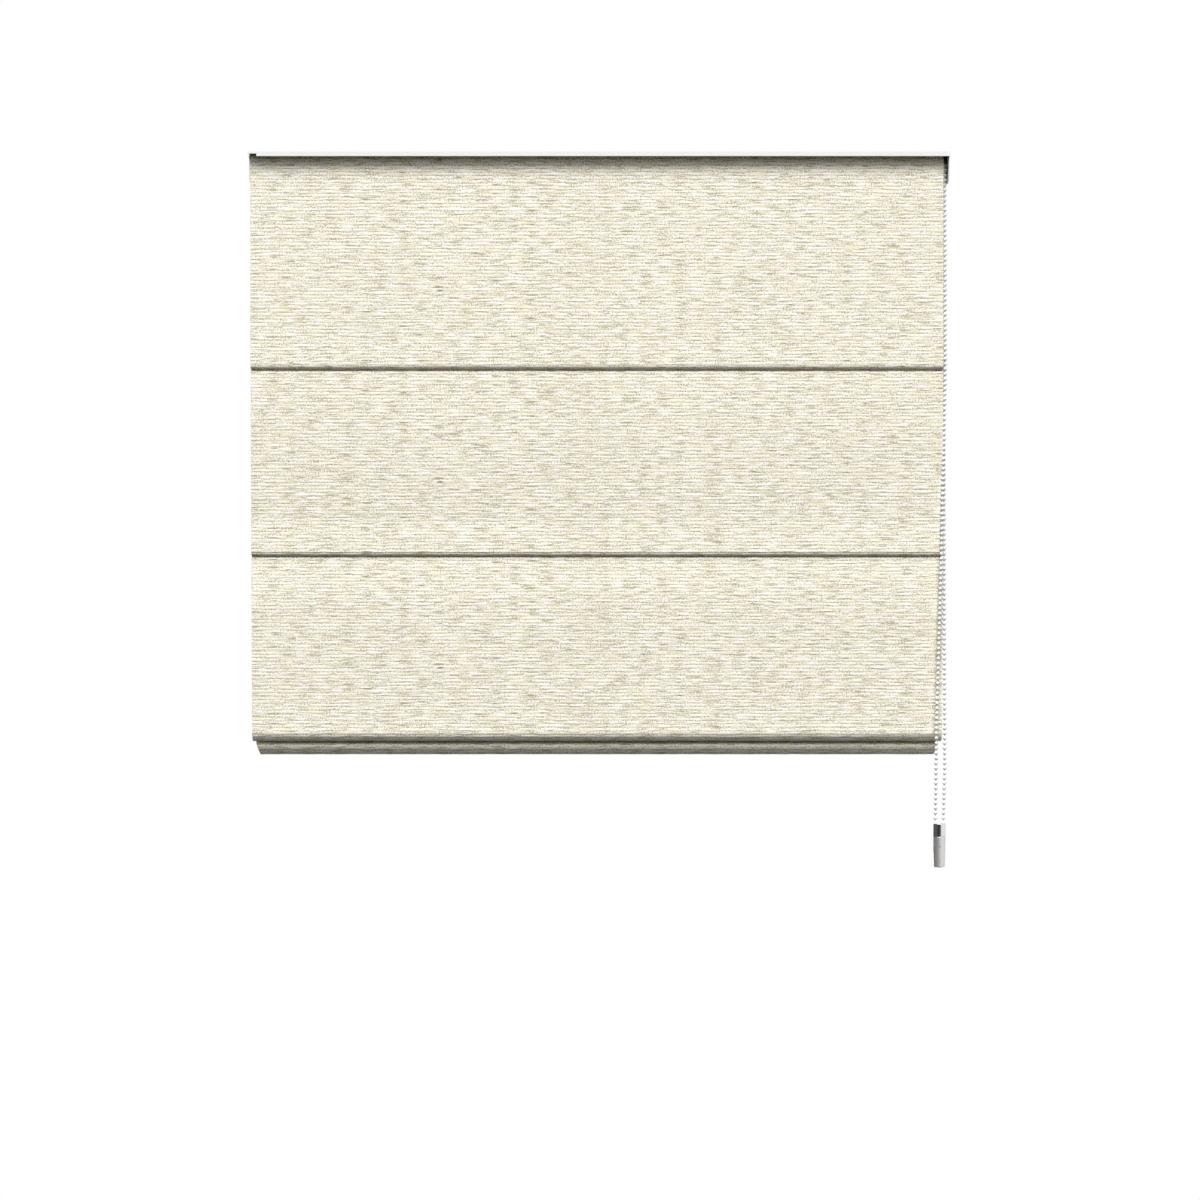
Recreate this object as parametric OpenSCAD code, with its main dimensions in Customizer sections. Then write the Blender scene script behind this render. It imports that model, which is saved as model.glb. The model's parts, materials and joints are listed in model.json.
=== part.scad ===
// Roman blind, raised by one fold: a slub cloth on a chain-drawn headrail.
// X runs along the width, the room side faces -Y and Z points up.
// The origin is midway between the two screw holes of the brackets, on their top faces.

/* [Fabric] */
// Width of the cloth
fabric_w = 832; // [600:1:1200]
// Thickness of the cloth
fabric_t = 1.2; // [0.9:0.1:1.4]
// Drop from the fixing plane to the bottom of the first tuck
first_fold = 260; // [220:1:320]
// Drop from one fold to the next
fold_pitch = 223.6; // [200:0.2:260]
// How far the hem hangs below the last fold
hem_drop = 18; // [16:1:30]
// Distance from one slub rib to the next
rib_pitch = 3.8; // [3:0.1:6]
// Height of the slub ribs
rib_h = 0.35; // [0.2:0.05:0.5]
// Height of the seam above a batten
seam_h = 13.5; // [12:0.5:18]

/* [Battens] */
// Diameter of the battens
batten_d = 6; // [5:0.5:6.5]
// Diameter of the tube in the hem
tube_d = 16; // [12:0.5:16]
// Wall of the tube in the hem
tube_wall = 1.5; // [1:0.1:2]

/* [Headrail] */
// Wall of the extrusion
rail_wall = 1.4; // [1.2:0.1:1.6]
// Height of the rail
rail_h = 34.5; // [34.5:0.5:40]
// Depth of the rail behind the tape
rail_d = 33; // [33:0.5:38]
// How far the lip stands out in front of the tape
lip_out = 18; // [10:0.5:24]
// Height of the lip
lip_h = 5.4; // [4.5:0.1:7]

/* [Drive] */
// Side of the square shaft
shaft_a = 6; // [5:0.5:6]
// Diameter of the lift cords
cord_d = 1.4; // [1:0.1:1.6]
// Distance from the cloth's edge to an outer lift cord
cord_inset = 86; // [60:1:150]

/* [Chain] */
// Diameter of a bead
bead_d = 4.5; // [4:0.1:4.6]
// Distance from bead to bead
bead_pitch = 6; // [6:0.1:6.2]
// Drop from the fixing plane to the top of the weight
chain_drop = 807.5; // [780:0.5:1000]
// Diameter of the weight
weight_d = 15.6; // [15.4:0.1:20]
// Height of the bright cap
cap_h = 14.8; // [10:0.1:18]
// Height of the satin body
body_h = 37.2; // [36:0.1:50]

/* [Brackets] */
// Distance from the cloth's edge to a bracket's screw
bracket_inset = 116; // [105:1:220]
// Width of a bracket
bracket_w = 30; // [20:1:36]
// Diameter of the screw holes
screw_d = 4.5; // [3.5:0.1:5.5]
// Thickness of the bracket plate
plate_t = 1.5; // [1.2:0.1:2]

/* [Hidden] */
$fn = 48;

// Gap between a batten and its pocket, running fit of a shaft, thickness of the tapes
pocket_gap = 0.3;
run_gap = 0.06;
tape_t = 1.5;
tape_gap = 0.3;
// Distance from the tape face of the rail back to the screws
screw_back = rail_d + 8;

// Cloth planes, front to back: three panels and the two folded up behind them
batten_r = batten_d / 2;
pocket_r = batten_r + pocket_gap + fabric_t / 2;
step = 2 * pocket_r + fabric_t + 0.4;
last_r = 9;
panel_1 = -2 * tape_t - tape_gap - fabric_t / 2;
panel_2 = panel_1 + step;
panel_3 = panel_2 + step;
panel_4 = panel_3 + 2 * last_r;
panel_5 = panel_4 + 2 * pocket_r;
half_w = fabric_w / 2;

// Heights: the battens at the folds, the last fold and the hem
cloth_top = -plate_t - rail_wall - 1;
z_1 = -first_fold + pocket_r + fabric_t / 2;
z_2 = z_1 - fold_pitch;
z_3 = -first_fold - 2 * fold_pitch + last_r + fabric_t / 2;
z_4 = z_2;
tube_r = tube_d / 2;
hem_in = tube_r + pocket_gap;
hem_out = hem_in + fabric_t;
z_hem = -first_fold - 2 * fold_pitch - hem_drop + hem_out;
batten_end = half_w - 8;
tube_end = half_w - 15;

// Drive axis, spools and cords
spool_r = 8 - cord_d / 2;
cord_r = 8;
axis_y = panel_4 - fabric_t / 2 - 13;
axis_z = -20.5;
cord_y = axis_y + cord_r;
journal_r = 5.5;
cord_xs = [cord_inset - half_w, 0, half_w - cord_inset];
rail_z = -plate_t - rail_h;
guide_z = z_2 - 3;
ring_z = z_2 - 8;

// Clip slot in the top of the rail: its middle, its mouth and the groove below, and the screws
slot_y = 15;
slot_w = 12;
groove_w = 20;
groove_h = 3.6;
bracket_x = half_w - bracket_inset;

// Chain: the wheel at the right end, the strands and the weight
wheel_n = 10;
wheel_r = wheel_n * bead_pitch / (2 * PI);
chain_x = half_w + bead_d / 2 + 0.35;
rail_x0 = -half_w;
rail_x1 = half_w - 4.5;
end_x = chain_x + 4.7;
bead_line_r = 0.6;
weight_x = chain_x - 6.6;
weight_y = 8;
weight_r = weight_d / 2;
strand_r = weight_r - bead_d / 2 - 0.85;
turn_z = -chain_drop - 27.5;
front_route = [
    [chain_x, axis_y - wheel_r, axis_z],
    [chain_x, panel_2 - 2.5, -first_fold - 2],
    [chain_x - 4.8, panel_2 - 4, z_2 - 4],
    [chain_x - 10, panel_2, z_3 + 13],
    [weight_x - strand_r, weight_y, -chain_drop],
    [weight_x - strand_r, weight_y, turn_z]];
rear_route = [
    [chain_x, axis_y + wheel_r, axis_z],
    [chain_x, weight_y + 1.5, -chain_drop + 67],
    [weight_x + strand_r, weight_y, -chain_drop],
    [weight_x + strand_r, weight_y, turn_z]];

white = "#f4f4f2";
grey = "#c9cac8";
cream = "#ece6d3";
steel = "#b9bbbd";

// Everything is drawn from the tape face of the rail, then set back to the screw line
module placed() {
    translate([0, -screw_back, 0]) children();
}

// Extrudes a section drawn in Y and Z along the width
module along_x(x0, x1) {
    translate([x0, 0, 0]) rotate([90, 0, 90]) linear_extrude(x1 - x0) children();
}

// Round bar along the width
module bar_x(x0, x1, r, y, z) {
    translate([x0, y, z]) rotate([0, 90, 0]) cylinder(h = x1 - x0, r = r);
}

// Round bar along the width on the drive axis
module on_axis(x0, x1, r) {
    bar_x(x0, x1, r, axis_y, axis_z);
}

// Square bar along the width on the drive axis
module square_x(x0, x1, a) {
    translate([x0, axis_y - a / 2, axis_z - a / 2]) cube([x1 - x0, a, a]);
}

// Box from its low and high corners
module box(a, b) {
    translate(a) cube(b - a);
}

// Area in Y and Z from its low and high corners
module area(a, b) {
    translate(a) square(b - a);
}

// Headrail: lip, tape face, back, clip slot in the top and an open bottom
module headrail() {
    top = -plate_t;
    w = rail_wall;
    groove = top - 2 * w - groove_h;
    color(white) placed() difference() {
        along_x(rail_x0, rail_x1) {
            area([-lip_out, top - w], [slot_y - slot_w / 2, top]);
            area([-lip_out, top - lip_h], [-lip_out + w, top]);
            area([slot_y + slot_w / 2, top - w], [rail_d, top]);
            area([0, rail_z], [w, top]);
            area([rail_d - w, rail_z], [rail_d, top]);
            area([slot_y - groove_w / 2 - w, groove], [slot_y - groove_w / 2, top]);
            area([slot_y + groove_w / 2, groove], [slot_y + groove_w / 2 + w, top]);
            area([slot_y - groove_w / 2 - w, groove], [slot_y + groove_w / 2 + w, groove + w]);
            area([0, rail_z], [8, rail_z + w]);
            area([rail_d - 3.5, rail_z], [rail_d, rail_z + w]);
        }
        box([rail_x0 - 1, -lip_out - 1, top - lip_h - 1], [rail_x0 + 8.5, -lip_out + w + 1, top - 2.4]);
    }
}

// Closes a rail end: the outline of the extrusion
module rail_outline() {
    area([-lip_out, -plate_t - lip_h], [rail_d, -plate_t]);
    area([0, rail_z], [rail_d, -plate_t]);
}

// Frame that plugs into the rail
module rail_plug() {
    low = [rail_wall + 0.3, rail_z + rail_wall + 0.3];
    high = [rail_d - rail_wall - 0.3, -plate_t - 6.7];
    difference() {
        area(low, high);
        area(low + [1.5, 1.5], high - [1.5, 1.5]);
    }
}

// Left end cap with the bearing of the shaft
module left_end_cap() {
    color(white) placed() {
        along_x(rail_x0 - 2, rail_x0) rail_outline();
        along_x(rail_x0, rail_x0 + 8) rail_plug();
        difference() {
            on_axis(rail_x0 - 1, rail_x0 + 11.7, journal_r + 2);
            on_axis(rail_x0, rail_x0 + 12, journal_r + run_gap);
        }
    }
}

// Control housing: it closes the rail's right end and carries the fixed core of the brake
module control_housing() {
    top = -plate_t;
    color(white) placed() {
        box([rail_x1, -lip_out, top - rail_wall], [end_x, rail_d, top]);
        box([rail_x1, -lip_out, top - lip_h], [end_x, -lip_out + rail_wall, top]);
        along_x(end_x - 1.2, end_x) rail_outline();
        box([rail_x1, rail_d - 1, rail_z], [end_x, rail_d, top]);
        difference() {
            box([rail_x1, 0, rail_z], [rail_x1 + 1.2, rail_d, top]);
            on_axis(rail_x1 - 1, rail_x1 + 2, 8.8);
        }
        along_x(rail_x1 - 8.5, rail_x1) rail_plug();
        on_axis(rail_x1 - 17.5, end_x, 5);
    }
}

// Chain wheel: ten bead pockets open at the rim, a groove for the line and the sleeve of the clutch
module chain_wheel() {
    color(grey) placed() difference() {
        union() {
            on_axis(chain_x - 3.3, chain_x + 3.3, wheel_r + 1.4);
            on_axis(rail_x1 - 11.5, chain_x - 3, 8.4);
        }
        on_axis(rail_x1 - 12, end_x, 5 + run_gap);
        on_axis(rail_x1 - 12, chain_x - 3.3, 7.4);
        translate([chain_x, axis_y, axis_z]) rotate([0, 90, 0]) difference() {
            cylinder(h = 4 * bead_line_r + 0.6, r = wheel_r + 3, center = true);
            cylinder(h = 4 * bead_line_r + 1, r = wheel_r - 2 * bead_line_r - 0.3, center = true);
        }
        for (i = [0:wheel_n - 1])
            translate([chain_x, axis_y, axis_z]) rotate([18 + 36 * i, 0, 0])
                translate([0, wheel_r, 0]) {
                    sphere(d = bead_d + 0.8);
                    rotate([-90, 0, 0]) cylinder(d = bead_d + 0.8, h = 3);
                }
        box([rail_x1 - 12, axis_y - 3.2, axis_z], [rail_x1 - 7, axis_y + 3.2, axis_z + 9]);
    }
}

// Wrap spring of the brake, wound close on the core
module wrap_spring() {
    color(steel) placed() translate([rail_x1 - 6, axis_y, axis_z]) rotate([0, 90, 0])
        rotate_extrude() for (i = [0:7]) translate([5.65, 0.5 + 0.9 * i]) circle(d = 1);
}

// Drive coupling: it turns on the core's end and drives the square shaft
module drive_coupling() {
    x = rail_x1 - 11.8;
    color(grey) placed() {
        difference() {
            on_axis(x - 20, x, 8.4);
            on_axis(x - 6, x + 1, 5 + run_gap);
            square_x(x - 21, x - 8, shaft_a + 0.1);
        }
        intersection() {
            difference() {
                on_axis(x - 0.5, x + 4.2, 8.3);
                on_axis(x - 1, x + 5, 7.5);
            }
            box([x - 0.5, axis_y - 3, axis_z], [x + 4.2, axis_y + 3, axis_z + 9]);
        }
    }
}

// Square drive shaft
module drive_shaft() {
    color(steel) placed() square_x(rail_x0 + 6.2, rail_x1 - 20, shaft_a);
}

// Bush on the left end of the shaft
module shaft_bush() {
    color(grey) placed() difference() {
        union() {
            on_axis(rail_x0 + 1.5, rail_x0 + 13, journal_r);
            on_axis(rail_x0 + 12, rail_x0 + 20, 7.5);
        }
        square_x(rail_x0 + 6, rail_x0 + 21, shaft_a + 0.1);
    }
}

// Cord spool: drum, two flanges and its journals
module spool(x) {
    color(white) placed() difference() {
        union() {
            on_axis(x - 13, x + 13, journal_r);
            on_axis(x - 10, x + 10, spool_r);
            on_axis(x - 10, x - 8.5, 10.5);
            on_axis(x + 8.5, x + 10, 10.5);
        }
        square_x(x - 14, x + 14, shaft_a + 0.1);
    }
}

// Cradle of a spool: two cheeks with bearings and a base with the cord's eye
module cradle(x) {
    y0 = rail_wall + 0.4;
    y1 = rail_d - rail_wall - 0.4;
    z0 = rail_z + rail_wall;
    color(grey) placed() difference() {
        union() {
            for (s = [-12.4, 10.4]) along_x(x + s, x + s + 2) {
                area([y0, z0], [y1, axis_z]);
                translate([axis_y, axis_z]) circle(r = 10.5);
            }
            box([x - 12.4, y0, z0], [x + 12.4, y1, z0 + 1.8]);
        }
        on_axis(x - 13, x + 13, journal_r + run_gap);
        translate([x, cord_y, z0 - 1]) cylinder(h = 4, d = cord_d + 1.2);
    }
}

// Turns of lift cord already wound on the three spools
module cord_turns() {
    color(white) placed() for (x = cord_xs) translate([x - 5, axis_y, axis_z]) rotate([0, 90, 0])
        rotate_extrude() for (i = [0:7]) translate([cord_r, i * cord_d * 0.94]) circle(d = cord_d);
}

// Lift cord from its spool to the stop under the last ring
module lift_cord(x) {
    color(white) placed() translate([x, cord_y, ring_z - 5])
        cylinder(h = axis_z - 6 - ring_z + 5, d = cord_d);
}

// Clip bracket: a plate under the soffit with a claw in the rail's slot
module bracket(x) {
    x0 = x - bracket_w / 2;
    x1 = x + bracket_w / 2;
    web = slot_w / 2 - 2;
    claw = groove_w / 2 - 2;
    low = -plate_t - rail_wall - groove_h + 0.6;
    color(steel) placed() difference() {
        union() {
            box([x0, slot_y - claw - 3, -plate_t], [x1, screw_back + 9, 0]);
            box([x0, slot_y - web, low], [x1, slot_y + web, -plate_t + 0.1]);
            box([x0, slot_y - claw, low], [x1, slot_y + claw, -plate_t - rail_wall - 0.3]);
        }
        translate([x, screw_back, -plate_t - 1]) cylinder(h = plate_t + 2, d = screw_d);
    }
}

// Hook tape glued to the rail
module hook_tape() {
    color(white) placed() box([rail_x0 + 3, -tape_t, rail_z + 7], [rail_x1 - 3, 0, -plate_t - 7.5]);
}

// Loop tape sewn to the back of the cloth
module loop_tape() {
    color(white) placed()
        box([rail_x0 + 3, -2 * tape_t, rail_z + 7], [rail_x1 - 3, -tape_t, -plate_t - 7.5]);
}

// Front edge of a panel with its slub ribs, from top to bottom
function ribs(y, z0, z1, n) = [for (i = [0:n]) [y - (i % 2) * rib_h, z0 - i * (z0 - z1) / n]];

// Hanging panel with ribs on its room side
module panel(y, z0, z1) {
    front = ribs(y - fabric_t / 2, z0, z1, 2 * floor((z0 - z1) / rib_pitch));
    polygon(concat(front, [[y + fabric_t / 2, z1], [y + fabric_t / 2, z0]]));
}

// Half ring of cloth, bent under for side -1 and over for side 1
module bend(y, z, r, side) {
    reach = r + fabric_t;
    translate([y, z]) intersection() {
        difference() {
            circle(r = r + fabric_t / 2);
            circle(r = r - fabric_t / 2);
        }
        translate([-reach, side < 0 ? -reach : 0]) square([2 * reach, reach]);
    }
}

// Sewn tuck: the cloth passes under the batten, rises to the seam and hangs on behind it
module tuck(y, z) {
    h = fabric_t / 2;
    back = 2 * pocket_r;
    translate([y, z]) {
        polygon([[0, 0], [back + h, 0], [back + h, 2.4], [step - h, 2], [step - h, 1], [step + h, 1],
            [step + h, 2.8], [0, seam_h + 5.5]]);
        intersection() {
            translate([pocket_r, 0]) circle(r = pocket_r + h);
            translate([-h, -back]) square([back + 2 * h, back]);
        }
    }
}

// Pocket of a batten inside its tuck
module pocket(y, z) {
    h = fabric_t / 2;
    translate([y, z]) {
        translate([pocket_r, 0]) circle(r = pocket_r - h);
        polygon([[h, 0], [2 * pocket_r - h, 0], [2 * pocket_r - h, 2], [h, seam_h]]);
    }
}

// Drop shape of the hem round the tube
module drop(r) {
    circle(r = r);
    polygon([[0, 2 * r], [-r * cos(30), r / 2], [r * cos(30), r / 2]]);
}

// Section of the cloth from the tape to the hem
module fabric_section() {
    h = fabric_t / 2;
    difference() {
        union() {
            panel(panel_1, cloth_top, z_1);
            tuck(panel_1, z_1);
            panel(panel_2, z_1 + 2, z_2);
            tuck(panel_2, z_2);
            panel(panel_3, z_2 + 2, z_3);
        }
        pocket(panel_1, z_1);
        pocket(panel_2, z_2);
    }
    bend(panel_3 + last_r, z_3, last_r, -1);
    area([panel_4 - h, z_3], [panel_4 + h, z_4]);
    bend(panel_4 + pocket_r, z_4, pocket_r, 1);
    area([panel_5 - h, z_hem + 2 * hem_in + 0.6], [panel_5 + h, z_4]);
    translate([panel_5, z_hem]) difference() {
        drop(hem_out);
        drop(hem_in);
    }
}

// Cloth of the blind, with the hem's ends folded in at a slant
module blind_fabric() {
    low = z_hem - hem_out - 1;
    high = z_hem + hem_out;
    color(cream) placed() difference() {
        along_x(-half_w, half_w) fabric_section();
        for (s = [0, 1]) mirror([s, 0, 0])
            translate([0, panel_5 + hem_out + 1, 0]) rotate([90, 0, 0]) linear_extrude(2 * hem_out + 2)
                polygon([[half_w - 2, high], [half_w + 1, high], [half_w + 1, low], [half_w - 11, low]]);
    }
}

// Batten rod
module batten(y, z) {
    color(grey) placed() bar_x(-batten_end, batten_end, batten_r, y, z);
}

// Rounded tips on both ends of a batten
module tips(y, z) {
    color(white) placed() for (s = [0, 1]) mirror([s, 0, 0]) translate([batten_end, y, z])
        rotate([0, 90, 0]) rotate_extrude() intersection() {
            union() {
                square([batten_r, 1.5]);
                translate([0, 1.5]) circle(r = batten_r);
            }
            square([batten_r, 5]);
        }
}

// Guides on batten 2: a foot on the cloth, a stem and a ring round the cord
module cord_guides() {
    y = panel_3 + fabric_t / 2 + 0.3;
    color(white) placed() for (x = cord_xs) {
        box([x - 6, y, guide_z - 4], [x + 6, y + 1, guide_z + 4]);
        box([x - 1.5, y + 0.5, guide_z - 0.8], [x + 1.5, cord_y - 3.6, guide_z + 0.8]);
        translate([x, cord_y, guide_z]) rotate_extrude() translate([3.9, 0]) circle(d = 1.8);
    }
}

// Rings sewn to the cloth at batten 4
module fold_rings() {
    color(white) placed() for (x = cord_xs)
        translate([x, cord_y, ring_z]) rotate_extrude() translate([3.9, 0]) circle(d = 1.8);
}

// Stops that the lift cords end in
module cord_stops() {
    color(white) placed() for (x = cord_xs) translate([x, cord_y, ring_z - 9]) difference() {
        cylinder(h = 8, r1 = 3, r2 = 4.1);
        translate([0, 0, 3.5]) cylinder(h = 5, d = cord_d + 0.6);
    }
}

// Tube in the hem that keeps the cloth straight
module bottom_tube() {
    color(steel) placed() difference() {
        bar_x(-tube_end, tube_end, tube_r, panel_5, z_hem);
        bar_x(-tube_end - 1, tube_end + 1, tube_r - tube_wall, panel_5, z_hem);
    }
}

// Plugs in both ends of the tube
module tube_plugs() {
    color(white) placed() for (s = [0, 1]) mirror([s, 0, 0]) {
        bar_x(tube_end, tube_end + 1.5, tube_r, panel_5, z_hem);
        bar_x(tube_end - 8, tube_end + 0.5, tube_r - tube_wall, panel_5, z_hem);
    }
}

// Straight stretch of bead chain between two points
module strand(a, b) {
    v = b - a;
    l = norm(v);
    n = round(l / bead_pitch);
    translate(a) rotate([0, acos(v[2] / l), atan2(v[1], v[0])]) rotate_extrude() intersection() {
        union() {
            translate([0, 0.5]) square([bead_line_r, l - 1]);
            for (i = [0:n - 1]) translate([0, (i + 0.5) * l / n]) circle(d = bead_d);
        }
        square([bead_d, l]);
    }
    translate(b) sphere(r = 2 * bead_line_r);
}

// Half turn of bead chain round an axis, upward for side 1 and downward for side -1
module half_turn(r, n, side) {
    rotate([0, 0, side < 0 ? 180 : 0]) rotate_extrude(angle = 180)
        translate([r, 0]) circle(r = bead_line_r);
    for (i = [0:n - 1]) rotate([0, 0, side * 180 * (i + 0.5) / n]) translate([r, 0, 0]) sphere(d = bead_d);
}

// Endless bead chain: over the wheel, down both strands and round the pin in the weight
module bead_chain() {
    color(white) placed() {
        for (i = [1:len(front_route) - 1]) strand(front_route[i - 1], front_route[i]);
        for (i = [1:len(rear_route) - 1]) strand(rear_route[i - 1], rear_route[i]);
        translate([chain_x, axis_y, axis_z]) rotate([90, 0, 90]) half_turn(wheel_r, wheel_n / 2, 1);
        translate([weight_x, weight_y, turn_z]) rotate([90, 0, 0]) half_turn(strand_r, 2, -1);
        for (p = [front_route[0], rear_route[0]]) translate(p) sphere(r = 2 * bead_line_r);
    }
}

// Slot in the weight that the chain runs in, from z down to its round end
module weight_slot(z, h) {
    r = bead_d / 2 + 0.35;
    translate([weight_x, weight_y, z]) linear_extrude(h) {
        square([2 * strand_r, 2 * r], center = true);
        for (s = [-1, 1]) translate([s * strand_r, 0]) circle(r = r);
    }
}

// Bright cap of the chain weight
module weight_cap() {
    color(steel) placed() difference() {
        translate([weight_x, weight_y, -chain_drop - cap_h]) cylinder(h = cap_h, r = weight_r);
        weight_slot(-chain_drop - cap_h - 1, cap_h + 2);
    }
}

// Satin body of the chain weight
module weight_body() {
    top = -chain_drop - cap_h;
    color(grey) placed() difference() {
        translate([weight_x, weight_y, 0]) rotate_extrude() polygon([[0, top - body_h],
            [weight_r - 1.9, top - body_h], [weight_r - 1.1, top - body_h + 0.8],
            [weight_r - 0.3, top - 0.8], [weight_r - 0.6, top], [0, top]]);
        weight_slot(turn_z - strand_r - 3.2, 60);
        translate([weight_x, weight_y - weight_r, turn_z]) rotate([-90, 0, 0])
            cylinder(h = weight_d, d = 3);
    }
}

// Pin in the weight that the chain runs round
module weight_pin() {
    color(steel) placed() translate([weight_x, weight_y - weight_r + 1.4, turn_z]) rotate([-90, 0, 0])
        cylinder(h = weight_d - 2.8, d = 3);
}

headrail();
left_end_cap();
control_housing();
hook_tape();
loop_tape();
bracket(-bracket_x);  // bracket_left
bracket(bracket_x);  // bracket_right
cradle(cord_xs[0]);  // cradle_left
cradle(cord_xs[1]);  // cradle_centre
cradle(cord_xs[2]);  // cradle_right
spool(cord_xs[0]);  // spool_left
spool(cord_xs[1]);  // spool_centre
spool(cord_xs[2]);  // spool_right
cord_turns();
drive_shaft();
shaft_bush();
chain_wheel();
wrap_spring();
drive_coupling();
lift_cord(cord_xs[0]);  // lift_cord_left
lift_cord(cord_xs[1]);  // lift_cord_centre
lift_cord(cord_xs[2]);  // lift_cord_right
blind_fabric();
batten(panel_1 + pocket_r, z_1);  // batten_1
tips(panel_1 + pocket_r, z_1);  // batten_1_tips
batten(panel_2 + pocket_r, z_2);  // batten_2
batten(panel_3 + pocket_r, z_3);  // batten_3
union() {  // upper_batten_tips
    tips(panel_2 + pocket_r, z_2);
    tips(panel_3 + pocket_r, z_3);
}
cord_guides();
batten(panel_4 + pocket_r, z_4);  // batten_4
tips(panel_4 + pocket_r, z_4);  // batten_4_tips
fold_rings();
cord_stops();
bottom_tube();
tube_plugs();
bead_chain();
weight_cap();
weight_body();
weight_pin();
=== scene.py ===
# %% [markdown]
# # Dressing a roman blind
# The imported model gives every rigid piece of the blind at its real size: rail, drive, battens, hem tube
# and chain weight. This lesson adds what a solid model cannot show well: the slub cloth with its folds,
# the bead chain, the lift cords, and the finish of each surface. All lengths are in metres, X runs along
# the width, -Y faces the room and Z points up.

import json
import math
import bpy
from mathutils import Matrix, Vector, noise


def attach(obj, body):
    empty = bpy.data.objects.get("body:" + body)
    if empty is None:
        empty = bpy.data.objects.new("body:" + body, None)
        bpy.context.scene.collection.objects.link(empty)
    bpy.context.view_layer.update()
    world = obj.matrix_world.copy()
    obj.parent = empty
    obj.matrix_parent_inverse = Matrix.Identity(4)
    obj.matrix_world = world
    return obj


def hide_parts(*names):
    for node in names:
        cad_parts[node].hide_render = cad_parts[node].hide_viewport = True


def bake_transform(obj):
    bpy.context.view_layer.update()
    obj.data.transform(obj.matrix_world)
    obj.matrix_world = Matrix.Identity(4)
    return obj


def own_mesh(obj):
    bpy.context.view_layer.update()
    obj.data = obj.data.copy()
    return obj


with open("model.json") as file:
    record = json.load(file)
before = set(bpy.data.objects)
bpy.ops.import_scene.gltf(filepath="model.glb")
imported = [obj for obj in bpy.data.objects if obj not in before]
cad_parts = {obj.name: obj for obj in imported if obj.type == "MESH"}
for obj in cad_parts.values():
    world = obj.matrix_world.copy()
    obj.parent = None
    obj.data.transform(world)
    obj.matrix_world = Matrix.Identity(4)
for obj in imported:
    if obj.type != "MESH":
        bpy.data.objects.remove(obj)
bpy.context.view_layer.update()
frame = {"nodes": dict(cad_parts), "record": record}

# %% [markdown]
# ## Camera
# The photograph looks straight at the blind from a long way off: the side edges stay parallel and no top
# or bottom face opens up. One pixel of the 1200 is 1.2 mm on the cloth, because the chain's beads repeat
# every 6 mm. So the frame is 1.44 m wide at the cloth, and a long lens four metres away gives that view.

# %% Camera
MM = 0.001
BACK = 41 * MM
PIXEL_MM, PHOTO_PIXELS = 1.2, 1200
CLOTH_FACE_Y = -4.8
CAMERA_DISTANCE = 4.0
SENSOR_MM = 36
VIEW_CENTRE_X, VIEW_CENTRE_Z = 3.6 * MM, -538 * MM


def at(x, y, z):
    """A point given in millimetres from the rail's tape face, in the row frame."""
    return Vector((x * MM, y * MM - BACK, z * MM))


view_width = PHOTO_PIXELS * PIXEL_MM * MM
cloth_face = at(0, CLOTH_FACE_Y, 0).y

camera_data = bpy.data.cameras.new("camera")
camera_data.sensor_fit = "HORIZONTAL"
camera_data.sensor_width = SENSOR_MM
camera_data.lens = SENSOR_MM * CAMERA_DISTANCE / view_width
camera = bpy.data.objects.new("camera", camera_data)
camera.location = (VIEW_CENTRE_X, cloth_face - CAMERA_DISTANCE, VIEW_CENTRE_Z)
camera.rotation_euler = (math.pi / 2, 0, 0)
bpy.context.scene.collection.objects.link(camera)
bpy.context.scene.camera = camera
print("lens", round(camera_data.lens, 1), "mm")

# %% [markdown]
# ## The chain's route
# The chain is an endless string of moulded beads. It lies over the chain wheel, falls in two strands and
# turns round a pin in the weight. The route repeats the points of the solid chain, so the dressed chain
# lies where the solid one does. Arc points are made by formula.

# %% Chain route
BEAD_PITCH = 6.0
BEAD_R = 2.25
WHEEL_R = 10 * BEAD_PITCH / (2 * math.pi)
CHAIN_X, AXIS_Y, AXIS_Z = 418.6, 19.3, -20.5
WEIGHT_X, WEIGHT_Y, STRAND_R, CAP_Z, TURN_Z = 412.0, 8.0, 4.7, -807.5, -835.0
LEFT_X, RIGHT_X = WEIGHT_X - STRAND_R, WEIGHT_X + STRAND_R

front_strand = [(CHAIN_X, AXIS_Y - WHEEL_R, AXIS_Z), (CHAIN_X, 3.0, -262), (413.8, 1.5, -483.1),
                (408.6, 5.5, -684.6), (LEFT_X, WEIGHT_Y, CAP_Z), (LEFT_X, WEIGHT_Y, TURN_Z)]
rear_strand = [(CHAIN_X, AXIS_Y + WHEEL_R, AXIS_Z), (CHAIN_X, 9.5, -740.5), (RIGHT_X, WEIGHT_Y, CAP_Z),
               (RIGHT_X, WEIGHT_Y, TURN_Z)]
weight_turn = [(WEIGHT_X - STRAND_R * math.cos(a), WEIGHT_Y, TURN_Z - STRAND_R * math.sin(a))
               for a in [math.pi * i / 16 for i in range(1, 16)]]
wheel_turn = [(CHAIN_X, AXIS_Y + WHEEL_R * math.cos(a), AXIS_Z + WHEEL_R * math.sin(a))
              for a in [math.pi * i / 32 for i in range(0, 33)]]
free_route = [at(*p) for p in front_strand + weight_turn + rear_strand[::-1]]
wheel_route = [at(*p) for p in wheel_turn]


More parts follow.
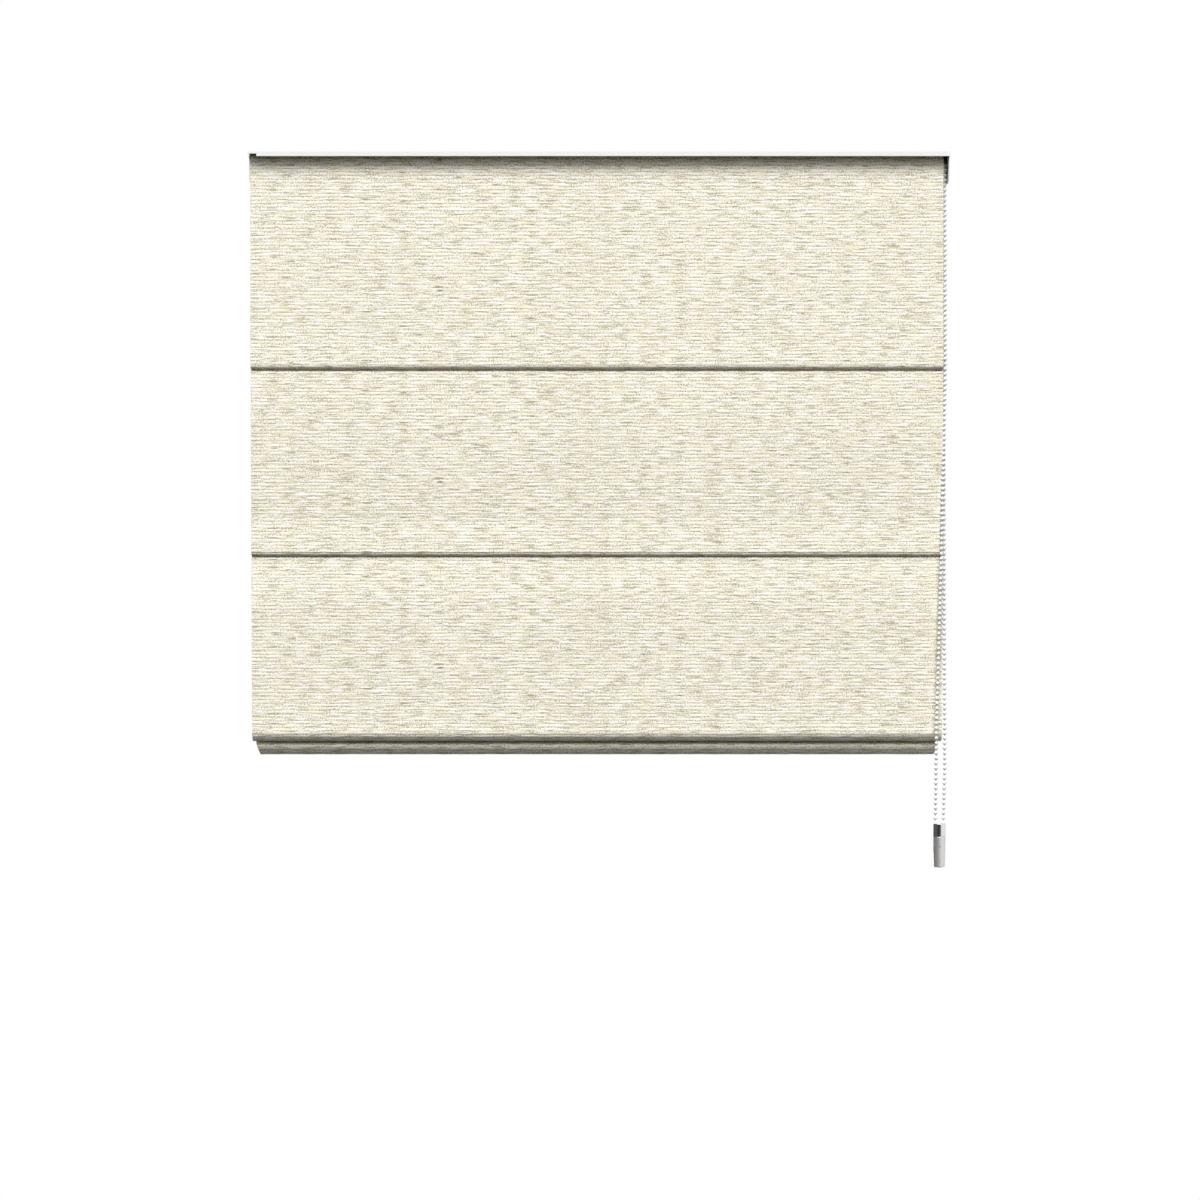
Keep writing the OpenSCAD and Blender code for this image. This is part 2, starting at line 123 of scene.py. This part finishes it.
def resampled(points, spacing, closed=False):
    """Points at an even spacing along a polyline, with the direction at each."""
    legs = list(zip(points, points[1:] + ([points[0]] if closed else [])))
    legs = [(a, b) for a, b in legs if (b - a).length > 1e-7]
    total = sum((b - a).length for a, b in legs)
    count = max(2, round(total / spacing))
    step = total / count
    found, walked, i = [], 0.0, 0
    for k in range(count if closed else count + 1):
        goal = min(k * step, total - 1e-9)
        while walked + (legs[i][1] - legs[i][0]).length < goal:
            walked += (legs[i][1] - legs[i][0]).length
            i += 1
        a, b = legs[i]
        way = (b - a).normalized()
        found.append((a + way * (goal - walked), way))
    return found, total


free_points, free_length = resampled(free_route, 4 * MM)
print("free chain", round(free_length, 4), "m")

# %% [markdown]
# ## The chain's string and beads
# A slim tube along the route makes the string. The beads are turned:
# each one is a small lathe profile with a collar where the string enters, set along the route at an even
# pitch. One mesh holds them all, because they are moulded onto one string.

# %% Mesh helpers
def new_object(name, vertices, faces, smooth=True):
    """A mesh object from plain lists, shaded smooth."""
    mesh = bpy.data.meshes.new(name)
    mesh.from_pydata([tuple(v) for v in vertices], [], faces)
    mesh.validate()
    mesh.polygons.foreach_set("use_smooth", [smooth] * len(mesh.polygons))
    obj = bpy.data.objects.new(name, mesh)
    bpy.context.scene.collection.objects.link(obj)
    return obj


def lathe_into(vertices, faces, centre, axis, profile, sides):
    """Adds a closed turned form: profile is (radius, height) from one pole to the other."""
    side = axis.orthogonal().normalized()
    other = axis.cross(side)
    first = len(vertices)
    for r, h in profile:
        for k in range(sides):
            a = 2 * math.pi * k / sides
            vertices.append(centre + axis * h + (side * math.cos(a) + other * math.sin(a)) * r)
    for i in range(len(profile) - 1):
        for k in range(sides):
            n = (k + 1) % sides
            faces.append((first + i * sides + k, first + i * sides + n,
                          first + (i + 1) * sides + n, first + (i + 1) * sides + k))
    last = first + (len(profile) - 1) * sides
    faces.append(tuple(first + k for k in reversed(range(sides))))
    faces.append(tuple(last + k for k in range(sides)))


def tube(name, points, radius, sides=8):
    """A round tube along a line of points."""
    vertices, faces = [], []
    side = None
    for i, p in enumerate(points):
        way = (points[min(i + 1, len(points) - 1)] - points[max(i - 1, 0)]).normalized()
        side = way.orthogonal() if side is None else side - way * side.dot(way)
        side.normalize()
        other = way.cross(side)
        for k in range(sides):
            a = 2 * math.pi * k / sides
            vertices.append(p + (side * math.cos(a) + other * math.sin(a)) * radius)
    for i in range(len(points) - 1):
        for k in range(sides):
            n = (k + 1) % sides
            faces.append((i * sides + k, i * sides + n, (i + 1) * sides + n, (i + 1) * sides + k))
    faces.append(tuple(reversed(range(sides))))
    faces.append(tuple(len(vertices) - sides + k for k in range(sides)))
    return new_object(name, vertices, faces)


# %% Bead chain
STRING_R = 0.6 * MM
BEAD_SIDES = 14
COLLAR = [(0.72 * MM, 2.5 * MM), (0.85 * MM, 2.3 * MM)]
string_path = [p for p, way in free_points]
chain_string = tube("chain_string", string_path, STRING_R)
wheel_string = tube("chain_string_on_wheel", wheel_route, STRING_R)

loop = free_route + wheel_route[1:-1]
bead_places, loop_length = resampled(loop, BEAD_PITCH * MM, closed=True)
ball = [(BEAD_R * MM * math.sin(a), -BEAD_R * MM * math.cos(a))
        for a in [math.pi * (0.11 + 0.78 * i / 9) for i in range(10)]]
bead_profile = [(r, -h) for r, h in COLLAR] + ball + COLLAR[::-1]
vertices, faces = [], []
for place, way in bead_places:
    lathe_into(vertices, faces, place, way, bead_profile, BEAD_SIDES)
chain_beads = new_object("chain_beads", vertices, faces)
for piece in (chain_string, wheel_string, chain_beads):
    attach(piece, "headrail")
    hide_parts("bead_chain")
print("beads", len(bead_places), "loop", round(loop_length, 3), "m")

# %% [markdown]
# ## The cloth's path
# Seen from the side, the cloth is one long line: down the front, round a batten, up to its seam, down
# again behind, and so on to the hem. Each panel is a sheet that follows its stretch of that line. The cloth
# is cut into sheets where the motion changes, and a sheet that joins two bodies is attached to neither.
# The fourth sheet leans a little, so its rows don't lie in one plane when it drops.
# Points are (y, z) in millimetres from the rail's tape face.

# %% Cloth path
HALF_W = 416.0
THICK = 1.2
RIB_PITCH = 4.2
POCKET_R, FOOT_R, HEM_R = 3.9, 12.0, 8.9
LIP_1, LIP_2, BACK_FOLD, HEM = (0.0, -255.5), (9.4, -479.1), (36.8, -479.1), (40.7, -715.7)
FOLD_Z = -697.6
UP_Y, DOWN_Y = 32.9, 40.7
LIP_FRONT, LIP_DROP = 4.1, 5.1


def arc(centre, radius, start, end, count):
    """Points on a circle in the side view, angles in degrees from +Y towards +Z."""
    return [(centre[0] + radius * math.cos(math.radians(start + (end - start) * i / count)),
             centre[1] + radius * math.sin(math.radians(start + (end - start) * i / count)))
            for i in range(count + 1)]


def smooth_line(points, spacing):
    """A Catmull-Rom line through the points, at an even spacing."""
    ends = [points[0]] + points + [points[-1]]
    dense = []
    for p0, p1, p2, p3 in zip(ends, ends[1:], ends[2:], ends[3:]):
        count = max(2, int(math.dist(p1, p2) / 0.3))
        for i in range(count):
            t = i / count
            dense.append(tuple(0.5 * (2 * b + (c - a) * t + (2 * a - 5 * b + 4 * c - d) * t * t
                                      + (3 * b - a - 3 * c + d) * t ** 3)
                               for a, b, c, d in zip(p0, p1, p2, p3)))
    dense.append(points[-1])
    line, _ = resampled([Vector((0, y, z)) for y, z in dense], spacing)
    return [(p.y, p.z) for p, way in line]


def under_lip(lip, bottom):
    """The next panel's path: from the seam, behind the pocket, forward under the lip and down."""
    y, z = lip
    return [(y - 2.4, z + 17), (y + 2.4, z + 9.5), (y + 6.2, z + 2.5), (y + 6.5, z - 1.8), (y + 5.4, z - 5.0),
            (y + 3.4, z - 6.7), (y + 1.8, z - 7.4), (y + 0.9, z - 8.4), (y + 0.6, z - 10), (y + 0.6, z - 15),
            (y + 0.4, z - 24)] + bottom


def lip_curl(lip, roll):
    """A panel's foot: a soft roll in front of the batten, a tight turn under it and up to the seam."""
    y, z = lip
    return ([(y - 3.9, z + 34), (y - LIP_FRONT, z + 12)]
            + arc((y - LIP_FRONT + roll, z - LIP_DROP + roll), roll, 180, 262, 12)
            + [(y + 3.4, z - 4.4), (y + 4.6, z - 2.0), (y + 4.0, z + 1.5), (y + 0.4, z + 9.0),
               (y - 2.6, z + 13.5)])


path_1 = [(-3.9, -4.0), (-3.9, -60.0), (-3.9, -160.0)] + lip_curl(LIP_1, 5.4)
path_2 = under_lip(LIP_1, [(1.0, -330), (3.0, -390), (5.0, -432)]) + lip_curl(LIP_2, 4.2)
path_3 = (under_lip(LIP_2, [(9.3, -540), (11.6, -600), (14.0, -660), (14.9, -690)])
          + arc((26.9, -696.0), FOOT_R, 180, 285, 14) + [(32.2, -704.6), (UP_Y, -701.5), (UP_Y, FOLD_Z)])
path_4 = [(UP_Y, FOLD_Z), (33.6, -670), (33.7, -645), (32.8, -590), (31.9, -530), (31.9, -505),
          (UP_Y, BACK_FOLD[1])]
hem_loop = ([(39.6, -702.5), (36.6, -708.2), (32.6, -710.8), (29.4, -712.0), (28.5, -713.9), (28.9, -716.0),
             (29.9, -717.6)] + arc(HEM, HEM_R, 225, 390, 20))
path_5 = (arc(BACK_FOLD, POCKET_R, 180, 0, 12) + [(DOWN_Y, -560), (DOWN_Y, -640), (DOWN_Y, -694.0)]
          + hem_loop + [(42.4, -697.0)])
print("panel paths ready")

# %% [markdown]
# ## Weaving a sheet
# The cloth's face has thick and thin weft yarns: long, soft horizontal ribs that swell and fade every few
# centimetres. A flat sheet with a bump map would stay flat at its edges and folds, so the ribs are real:
# the sheet is a fine grid, five to seven rows to a rib, pushed out along its own normal. Noise along each
# rib gives the slubs. The side edges turn back into a narrow hem, so the cloth has its thickness there.
# Two attributes go to the material: the rib's height, and a UV in metres that moves with the cloth.

# %% Sheet maker
RIB_H = 0.42
SIDE_HEM, HEM_STEPS = 25.0, 4
EDGE_ANGLES = (math.pi / 4, 0, -math.pi / 4)


def slub(x, s, seed):
    """Height from 0 to 1 of the ribbed face at a place on the cloth, in millimetres."""
    wander = 0.2 * noise.noise((x / 40, s / 15, seed)) + 0.1 * noise.noise((x / 12, s / 6, seed + 9))
    u = s / RIB_PITCH + wander
    k = math.floor(u)
    swell = (0.65 + 0.7 * noise.noise((x / 14, k * 3.7, seed + 21))
             + 0.3 * noise.noise((x / 6, k * 5.1, seed + 33)))
    return max(0.0, min(1.15, swell)) * math.sin(math.pi * (u - k)) ** 0.9


def weave(name, path, row_gap, column_gap, seed, narrow=None):
    """A ribbed sheet along a side-view path. A column is (x, side): side is 1 on the hem, -1 on the face.
    narrow says how far the ends are pulled in at a height."""
    line = smooth_line(path, row_gap)
    n = len(line)
    inner = HALF_W - THICK / 2
    columns = [(-inner + SIDE_HEM * (1 - i / HEM_STEPS), 1.0) for i in range(HEM_STEPS + 1)]
    columns += [(-inner - THICK / 2 * math.cos(a), math.sin(a)) for a in EDGE_ANGLES]
    count = round(2 * inner / column_gap)
    columns += [(-inner + 2 * inner * i / count, -1.0) for i in range(count + 1)]
    columns += [(inner + THICK / 2 * math.cos(a), math.sin(a)) for a in EDGE_ANGLES[::-1]]
    columns += [(inner - SIDE_HEM * i / HEM_STEPS, 1.0) for i in range(HEM_STEPS + 1)]
    vertices, heights, uvs = [], [], []
    walked = 0.0
    for i, (y, z) in enumerate(line):
        before, after = line[max(0, i - 1)], line[min(n - 1, i + 1)]
        ty, tz = after[0] - before[0], after[1] - before[1]
        size = math.hypot(ty, tz)
        ny, nz = tz / size, -ty / size
        if i:
            walked += math.dist(line[i - 1], (y, z))
        for x, side in columns:
            on_face = side < -0.5
            h = slub(x, walked, seed) if on_face else 0.5
            out = (1.0 if on_face else -side) * THICK / 2 + (h - 0.5) * RIB_H
            px = x * (1 - narrow(z) / HALF_W) if narrow else x
            vertices.append(at(px, y + ny * out, z + nz * out))
            heights.append(h)
            uvs.append((x * MM, walked * MM))
    m = len(columns)
    faces = [(i * m + k, (i + 1) * m + k, (i + 1) * m + k + 1, i * m + k + 1)
             for i in range(n - 1) for k in range(m - 1)]
    obj = new_object(name, vertices, faces)
    attribute = obj.data.attributes.new("slub", "FLOAT", "POINT")
    attribute.data.foreach_set("value", heights)
    layer = obj.data.uv_layers.new(name="cloth")
    flat = [c for loop in obj.data.loops for c in uvs[loop.vertex_index]]
    layer.data.foreach_set("uv", flat)
    print(name, len(faces) * 2, "triangles,", round(walked), "mm long")
    return obj, walked


# %% [markdown]
# ## Five sheets
# The first panel stays with the rail. The second runs between the rail and the upper fold and is attached
# to neither. The third hangs from the upper fold with batten 2 and turns up at batten 3. The fourth runs up
# behind it to batten 4, and the fifth falls from there to the hem round the tube. The hem's ends are tucked
# in at a slant.

# %% Cloth panels
HEM_HALF = 9.5
FRONT_ROW, FRONT_COLUMN = RIB_PITCH / 6.5, 4.2


def hem_slant(z):
    """How far the hem's end is tucked in at a height, in millimetres."""
    below_top = HEM[1] + HEM_HALF - z
    return 2.0 + 6.0 * min(1.0, below_top / (2 * HEM_HALF)) if below_top >= 0 else 0.0


panel_1, length_1 = weave("cloth_panel_1", path_1, FRONT_ROW, FRONT_COLUMN, 1.0)
panel_2, length_2 = weave("cloth_panel_2", path_2, FRONT_ROW, FRONT_COLUMN, 2.0)
panel_3, length_3 = weave("cloth_panel_3", path_3, FRONT_ROW, FRONT_COLUMN, 3.0)
panel_4, length_4 = weave("cloth_panel_4", path_4, RIB_PITCH / 5, 6.0, 4.0)
panel_5, length_5 = weave("cloth_panel_5", path_5, RIB_PITCH / 5.5, 5.5, 5.0, narrow=hem_slant)

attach(panel_1, "headrail")
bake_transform(panel_2)
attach(panel_3, "upper_fold")
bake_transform(panel_4)
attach(panel_5, "lower_fold")
cloth_panels = {panel_1: (length_1, "loop_tape"), panel_2: (length_2, "batten_1"),
                panel_3: (length_3, "batten_2"), panel_4: (length_4, "batten_3"),
                panel_5: (length_5, "batten_4")}
for panel, (length, carrier) in cloth_panels.items():
    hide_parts("blind_fabric")
print("cloth length", round(sum(v[0] for v in cloth_panels.values())), "mm")

# %% [markdown]
# ## Lift cords
# Three braided cords run from the spools down behind the cloth, through the guides, to stops under the
# rings of the last batten. When the blind rises they wind in. Each cord is a slim tube in two stretches: the
# upper one hangs from its spool, and the last stretch, from guide to stop, joins the two folds.

# %% Lift cords
CORD_R = 0.7
CORD_Y = 27.3
SPOOL_Z, GUIDE_Z, STOP_Z = AXIS_Z - 4, -482.1, -492.1
cord_xs = {"left": -330.0, "centre": 0.0, "right": 330.0}


def cord_stretch(name, x, top, bottom, rows):
    """An upright slim tube with a braid's slight swelling."""
    profile = []
    for i in range(rows + 1):
        swell = 1.0 + 0.05 * math.sin(i * 2.1)
        profile.append((CORD_R * swell * MM, -(top - bottom) * i / rows * MM))
    vertices, faces = [], []
    lathe_into(vertices, faces, at(x, CORD_Y, top), Vector((0, 0, 1)), profile, 10)
    return new_object(name, vertices, faces)


lift_cords = []
for side, x in cord_xs.items():
    upper = cord_stretch("lift_cord_" + side + "_upper", x, SPOOL_Z, GUIDE_Z, 160)
    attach(upper, "headrail")
    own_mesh(upper)
    lower = cord_stretch("lift_cord_" + side + "_lower", x, GUIDE_Z, STOP_Z, 12)
    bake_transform(lower)
    for piece in (upper, lower):
        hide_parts("lift_cord_" + side)
        lift_cords.append(piece)
print("lift cord pieces", len(lift_cords))

# %% [markdown]
# ## Building materials from nodes
# Every finish is a node tree on the Principled shader. A small helper adds a node and links it, so each
# finish below reads as a list of what goes into what.

# %% Node helper
class Finish:
    """A material with a Principled shader and short ways to add nodes to it."""

    def __init__(self, name, roughness=0.5, metallic=0.0):
        self.material = bpy.data.materials.new(name)
        self.material.use_nodes = True
        self.tree = self.material.node_tree
        self.shader = self.tree.nodes["Principled BSDF"]
        self.shader.inputs["Roughness"].default_value = roughness
        self.shader.inputs["Metallic"].default_value = metallic

    def add(self, kind, settings=None, **links):
        """Adds a node. A link is named after its input, or i0, i1 by number. Its value is a socket or plain."""
        node = self.tree.nodes.new(kind)
        for key, value in (settings or {}).items():
            setattr(node, key, value)
        for key, value in links.items():
            self.put(node.inputs[int(key[1:]) if key[1:].isdigit() else key.replace("_", " ")], value)
        return node

    def put(self, socket, value):
        """Links an output socket, or sets a plain value."""
        if isinstance(value, bpy.types.NodeSocket):
            self.tree.links.new(value, socket)
        else:
            socket.default_value = value

    def ramp(self, factor, stops):
        """A colour ramp from (position, linear colour) stops."""
        node = self.add("ShaderNodeValToRGB", Fac=factor)
        elements = node.color_ramp.elements
        while len(elements) < len(stops):
            elements.new(0.5)
        for element, (position, colour) in zip(elements, stops):
            element.position = position
            element.color = (*colour, 1)
        return node.outputs["Color"]

    def mapped(self, source, scale):
        """Coordinates stretched by a scale."""
        coordinates = self.add("ShaderNodeTexCoord").outputs[source]
        return self.add("ShaderNodeMapping", Vector=coordinates, Scale=scale).outputs["Vector"]

    def noise(self, vector, scale, detail=2.0):
        """A noise texture's value."""
        return self.add("ShaderNodeTexNoise", Vector=vector, Scale=scale, Detail=detail).outputs["Fac"]

    def math(self, operation, a, b=0.0, c=0.0):
        """One math node."""
        return self.add("ShaderNodeMath", {"operation": operation}, i0=a, i1=b, i2=c).outputs["Value"]

    def mix(self, factor, a, b, blend="MIX"):
        """Mixes two colours."""
        node = self.add("ShaderNodeMix", {"data_type": "RGBA", "blend_type": blend})
        for index, value in ((0, factor), (6, a), (7, b)):
            plain = isinstance(value, (bpy.types.NodeSocket, float))
            self.put(node.inputs[index], value if plain else (*value, 1))
        return node.outputs[2]

    def bump(self, height, strength, distance):
        """Bump from a height, linked to the shader."""
        node = self.add("ShaderNodeBump", Strength=strength, Distance=distance, Height=height)
        self.put(self.shader.inputs["Normal"], node.outputs["Normal"])


def linear(r, g, b):
    """A colour written as 0 to 255 screen values, as linear light."""
    return tuple((v / 255 / 12.92) if v <= 10 else ((v / 255 + 0.055) / 1.055) ** 2.4 for v in (r, g, b))


# %% [markdown]
# ## Slub cloth
# The rib height attribute drives the main ramp: the crests are painted near white and the gaps between
# them beige, partly the yarns' own tone and partly a painted highlight on the crests and painted shade in
# the gaps. Single yarns are tinted a pale yellow or show as short dark dashes. Stretched noise along the
# yarns gives the tints and dashes, and a finer, nearly even noise the warp. The scales are in repeats to
# the metre, along and across the cloth.

# %% Slub cloth
YARNS, WARPS, TINTS, DASHES = (55, 1000, 1), (560, 480, 1), (28, 300, 1), (45, 1000, 1)
cloth = Finish("slub_cloth", roughness=0.9)
rib = cloth.add("ShaderNodeAttribute", {"attribute_name": "slub"}).outputs["Fac"]
yarn = cloth.noise(cloth.mapped("UV", YARNS), 1.0, 0.0)
warp = cloth.noise(cloth.mapped("UV", WARPS), 1.0, 0.0)
tone = cloth.math("MULTIPLY_ADD", rib, 0.8, cloth.math("MULTIPLY_ADD", yarn, 1.8, -0.78))
tone = cloth.math("ADD", tone, cloth.math("MULTIPLY_ADD", warp, 1.9, -0.95))
# The ramp paints the rib crests lighter and the gaps darker: partly yarn tone, partly painted highlight and
# painted shade.
rib_tone_and_painted_light = cloth.ramp(tone, [(0.0, linear(194, 187, 162)), (0.26, linear(233, 227, 207)),
                         (0.52, linear(246, 241, 224)), (0.88, linear(255, 253, 247))])
tint = cloth.noise(cloth.mapped("UV", TINTS), 1.0, 2.0)
tints = cloth.ramp(tint, [(0.5, (0, 0, 0)), (0.68, (0.55, 0.55, 0.55))])
tinted = cloth.mix(tints, rib_tone_and_painted_light, linear(246, 236, 200))
dash = cloth.noise(cloth.mapped("UV", DASHES), 1.0, 0.0)
dashes = cloth.ramp(dash, [(0.68, (0, 0, 0)), (0.74, (0.9, 0.9, 0.9))])
cloth.put(cloth.shader.inputs["Base Color"], cloth.mix(dashes, tinted, linear(160, 151, 124)))
cloth.shader.inputs["Sheen Weight"].default_value = 0.08
cloth.shader.inputs["Specular IOR Level"].default_value = 0.25
cloth.bump(cloth.math("ADD", yarn, cloth.math("MULTIPLY", warp, 0.6)), 0.5, 0.0004)
for panel in cloth_panels:
    panel.data.materials.append(cloth.material)
print("cloth finish on", len(cloth_panels), "panels")

# %% [markdown]
# ## Plastic, metal, tape and cord finishes
# The hidden pieces are finished as plainly as the real ones: moulded plastic with a faint texture, powder
# coat on the rail, drawn aluminium, zinc-plated steel, napped tape and braided cord. Only the scale and
# strength of the noise and the roughness change from one to the next.

# %% Rigid finishes
def plastic(name, colour, roughness, grain):
    """Moulded plastic: slight colour drift, slight gloss drift and a fine moulded grain."""
    finish = Finish(name, roughness)
    drift = finish.noise(finish.mapped("Object", (1, 1, 1)), 40.0, 3.0)
    darker = tuple(c * 0.94 for c in colour)
    finish.put(finish.shader.inputs["Base Color"], finish.mix(drift, darker, colour))
    finish.put(finish.shader.inputs["Roughness"], finish.math("MULTIPLY_ADD", drift, 0.12, roughness - 0.06))
    finish.bump(finish.noise(finish.mapped("Object", (1, 1, 1)), grain, 2.0), 0.12, 0.0002)
    return finish.material


def metal(name, colour, roughness, stretch, strength, metallic=1.0):
    """Metal with drawn or brushed lines: noise stretched along the grain."""
    finish = Finish(name, roughness, metallic)
    grain = finish.noise(finish.mapped("Object", stretch), 1.0, 3.0)
    finish.put(finish.shader.inputs["Base Color"], finish.mix(grain, tuple(c * 0.86 for c in colour), colour))
    finish.put(finish.shader.inputs["Roughness"], finish.math("MULTIPLY_ADD", grain, 0.2, roughness - 0.1))
    finish.bump(grain, strength, 0.0002)
    return finish.material


def textile(name, colour, scale):
    """Napped tape or braid: a fine weave from one noise."""
    finish = Finish(name, 0.95)
    weft = finish.noise(finish.mapped("Object", scale), 1.0, 2.0)
    finish.put(finish.shader.inputs["Base Color"], finish.mix(weft, tuple(c * 0.7 for c in colour), colour))
    finish.bump(weft, 0.6, 0.0005)
    return finish.material


finishes = {
    "white_aluminium": plastic("powder_coat_white", linear(240, 240, 238), 0.45, 2200.0),
    "white_plastic": plastic("moulded_white", linear(240, 240, 237), 0.3, 900.0),
    "grey_plastic": plastic("moulded_grey", linear(196, 197, 195), 0.45, 900.0),
    "aluminium": metal("drawn_aluminium", (0.78, 0.78, 0.79), 0.38, (12, 1800, 1800), 0.08),
    "steel": metal("zinc_plate", (0.66, 0.68, 0.7), 0.35, (300, 300, 300), 0.05),
    "chrome": metal("bright_chrome", (0.8, 0.8, 0.82), 0.14, (400, 400, 400), 0.02),
    "satin_metal": metal("satin_nickel", (0.74, 0.73, 0.72), 0.42, (900, 900, 40), 0.06, 0.75),
    "tape": textile("napped_tape", linear(236, 236, 232), (2500, 2500, 2500)),
    "cord": textile("braided_cord", linear(240, 240, 236), (1800, 1800, 900)),
}
slot_of = {s["node"]: s["material_slot"] for s in frame["record"]["subparts"]}
for name, node in frame["nodes"].items():
    if slot_of[name] in finishes:
        node.data.materials.clear()
        node.data.materials.append(finishes[slot_of[name]])
for piece in (chain_string, wheel_string, chain_beads):
    piece.data.materials.append(finishes["white_plastic"])
for piece in lift_cords:
    piece.data.materials.append(finishes["cord"])
print("finishes", sorted(finishes))

# %% [markdown]
# ## Light and surroundings
# A wide key softbox stands above and in front, so the rail's lip throws a soft shade on the top of the
# cloth and each lip darkens where it curls under. A weaker front fill opens the shades, and a back fill
# lights the folds for views from behind. The world itself adds only a faint grey, fainter from below.
# Glossy surfaces see a backdrop that is dark on the left and white on the right, which gives the chain
# weight its edges, and the camera sees white. A pale floor lies far below and behind the blind, so little
# light comes back from it.

# %% Light
def distant_softbox(name, elevation, azimuth, width, strength):
    """A far softbox: parallel light of some angular width, from above (degrees) and from the left."""
    data = bpy.data.lights.new(name, "SUN")
    data.angle = math.radians(width)
    data.energy = strength
    lamp = bpy.data.objects.new(name, data)
    lamp.rotation_euler = (math.radians(90 - elevation), 0, math.radians(-azimuth))
    bpy.context.scene.collection.objects.link(lamp)


distant_softbox("key_softbox", elevation=51, azimuth=6, width=36, strength=3.6)
distant_softbox("front_fill", elevation=24, azimuth=-10, width=44, strength=0.9)
distant_softbox("back_fill", elevation=8, azimuth=172, width=50, strength=1.7)

world = bpy.data.worlds.new("studio")
bpy.context.scene.world = world
world.use_nodes = True
tree = world.node_tree
tree.nodes.clear()
rays = tree.nodes.new("ShaderNodeLightPath").outputs
aim = tree.nodes.new("ShaderNodeSeparateXYZ")
tree.links.new(tree.nodes.new("ShaderNodeTexCoord").outputs["Generated"], aim.inputs[0])


def backdrop(direction, stops):
    """Light from all round: a grey that changes with one direction, -1 to 1."""
    share = tree.nodes.new("ShaderNodeMapRange")
    share.inputs["From Min"].default_value = -1
    tree.links.new(aim.outputs[direction], share.inputs["Value"])
    ramp = tree.nodes.new("ShaderNodeValToRGB")
    tree.links.new(share.outputs[0], ramp.inputs[0])
    while len(ramp.color_ramp.elements) < len(stops):
        ramp.color_ramp.elements.new(0.5)
    for element, (position, grey) in zip(ramp.color_ramp.elements, stops):
        element.position = position / 2 + 0.5
        element.color = (grey, grey, grey, 1)
    light = tree.nodes.new("ShaderNodeBackground")
    tree.links.new(ramp.outputs[0], light.inputs["Color"])
    return light.outputs[0]


FAINT = [(-0.2, 0.02), (0.2, 0.08)]
DARK_TO_WHITE = [(-0.9, 0.12), (-0.3, 0.03), (0.3, 0.03), (0.55, 1.0)]
WHITE = [(0, 1.0)]
surface = backdrop("Z", FAINT)
for ray, light in (("Is Glossy Ray", backdrop("X", DARK_TO_WHITE)),
                   ("Is Transmission Ray", backdrop("Z", WHITE)),
                   ("Is Camera Ray", backdrop("Z", WHITE))):
    choice = tree.nodes.new("ShaderNodeMixShader")
    for socket, link in zip(choice.inputs, (rays[ray], surface, light)):
        tree.links.new(link, socket)
    surface = choice.outputs[0]
tree.links.new(surface, tree.nodes.new("ShaderNodeOutputWorld").inputs["Surface"])

FLOOR_X, FLOOR_NEAR, FLOOR_FAR, FLOOR_Z = 1.6, 0.4, 3.4, -2.6
corners = [(-FLOOR_X, FLOOR_NEAR), (FLOOR_X, FLOOR_NEAR), (FLOOR_X, FLOOR_FAR), (-FLOOR_X, FLOOR_FAR)]
floor = new_object("floor", [(x, y, FLOOR_Z) for x, y in corners], [(0, 1, 2, 3)], False)
floor.data.materials.append(plastic("pale_floor", (0.86, 0.86, 0.85), 0.8, 300.0))
bpy.context.scene.view_settings.view_transform = "Standard"
print("lamps and world set")
